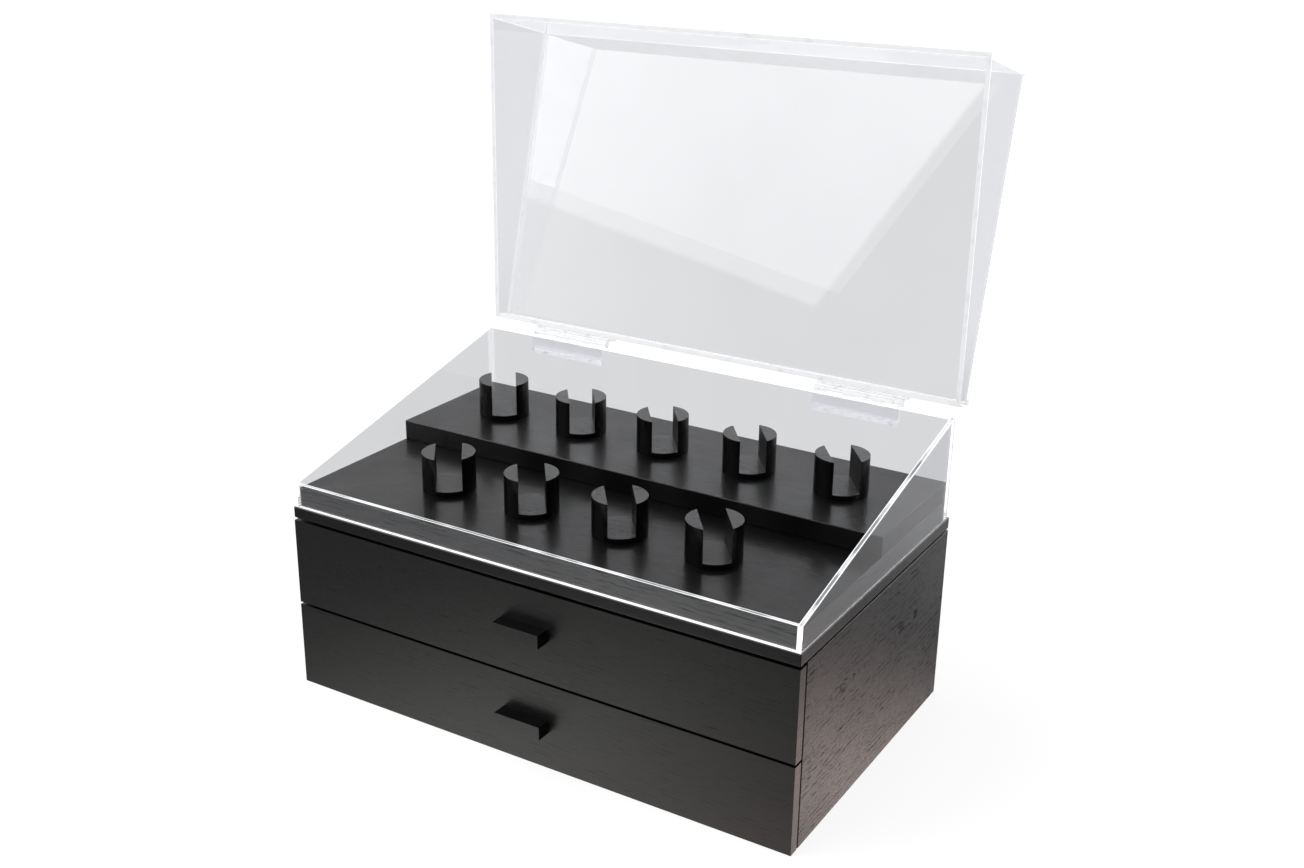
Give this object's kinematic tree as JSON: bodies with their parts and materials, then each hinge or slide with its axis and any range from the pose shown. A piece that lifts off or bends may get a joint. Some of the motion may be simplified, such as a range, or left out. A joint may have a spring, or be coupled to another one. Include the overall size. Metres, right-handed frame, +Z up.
{
  "type": "display case",
  "caption": "Black wooden cabinet with drawers under a stepped display floor with slotted round stands, a clear sloping surround and a clear hinged lid that stands open.",
  "frame": {"origin": "on the ground in the middle of the cabinet's footprint", "axes": "+Z up, -Y to the front where the drawer pulls are, +X to the right seen from the front"},
  "size_m": [0.6, 0.4905, 0.6932],
  "materials": {
    "black_wood": "black stain on open-grained wood, satin lacquer",
    "black_paint": "black stain, flat",
    "clear_sheet": "clear sheet with polished edges",
    "zinc_steel": "zinc plated"
  },
  "bodies": {
    "cabinet": {"top_plate": "black_wood", "carcass_left_side": "black_wood", "carcass_right_side": "black_wood", "carcass_bottom": "black_wood", "carcass_back": "black_wood", "carcass_top": "black_wood", "lower_runner_left": "black_paint", "lower_runner_right": "black_paint", "upper_runner_left": "black_paint", "upper_runner_right": "black_paint", "display_floor": "black_wood", "display_riser": "black_wood", "stand_front_1": "black_wood", "stand_front_2": "black_wood", "stand_front_3": "black_wood", "stand_front_4": "black_wood", "stand_back_1": "black_wood", "stand_back_2": "black_wood", "stand_back_3": "black_wood", "stand_back_4": "black_wood", "stand_back_5": "black_wood", "surround_front_wall": "clear_sheet", "surround_left_wall": "clear_sheet", "surround_right_wall": "clear_sheet", "surround_back_wall": "clear_sheet", "hinge_left_lower_leaf": "clear_sheet", "hinge_left_pin": "clear_sheet", "hinge_right_lower_leaf": "clear_sheet", "hinge_right_pin": "clear_sheet"},
    "lid": {"lid_top_panel": "clear_sheet", "lid_front_wall": "clear_sheet", "lid_left_wall": "clear_sheet", "lid_right_wall": "clear_sheet", "lid_back_wall": "clear_sheet", "hinge_left_upper_leaf": "clear_sheet", "hinge_right_upper_leaf": "clear_sheet"},
    "upper_drawer": {"upper_drawer_front": "black_wood", "upper_drawer_pull": "black_wood", "upper_drawer_box_front": "black_paint", "upper_drawer_left_side": "black_paint", "upper_drawer_right_side": "black_paint", "upper_drawer_bottom": "black_paint", "upper_drawer_back": "black_paint", "upper_pull_screw_left": "zinc_steel", "upper_pull_screw_right": "zinc_steel"},
    "lower_drawer": {"lower_drawer_front": "black_wood", "lower_drawer_pull": "black_wood", "lower_drawer_box_front": "black_paint", "lower_drawer_left_side": "black_paint", "lower_drawer_right_side": "black_paint", "lower_drawer_bottom": "black_paint", "lower_drawer_back": "black_paint", "lower_pull_screw_left": "zinc_steel", "lower_pull_screw_right": "zinc_steel"}
  },
  "joints": [
    {"name": "lid_hinge", "type": "hinge", "parent": "cabinet", "child": "lid", "pos_m": [0, 0.1807, 0.3252], "axis": [1, 0, 0], "range_deg": [0, 104.4]},
    {"name": "upper_drawer_slide", "type": "slide", "parent": "cabinet", "child": "upper_drawer", "axis": [0, -1, 0], "range_m": [0, 0.23]},
    {"name": "lower_drawer_slide", "type": "slide", "parent": "cabinet", "child": "lower_drawer", "axis": [0, -1, 0], "range_m": [0, 0.23]}
  ]
}
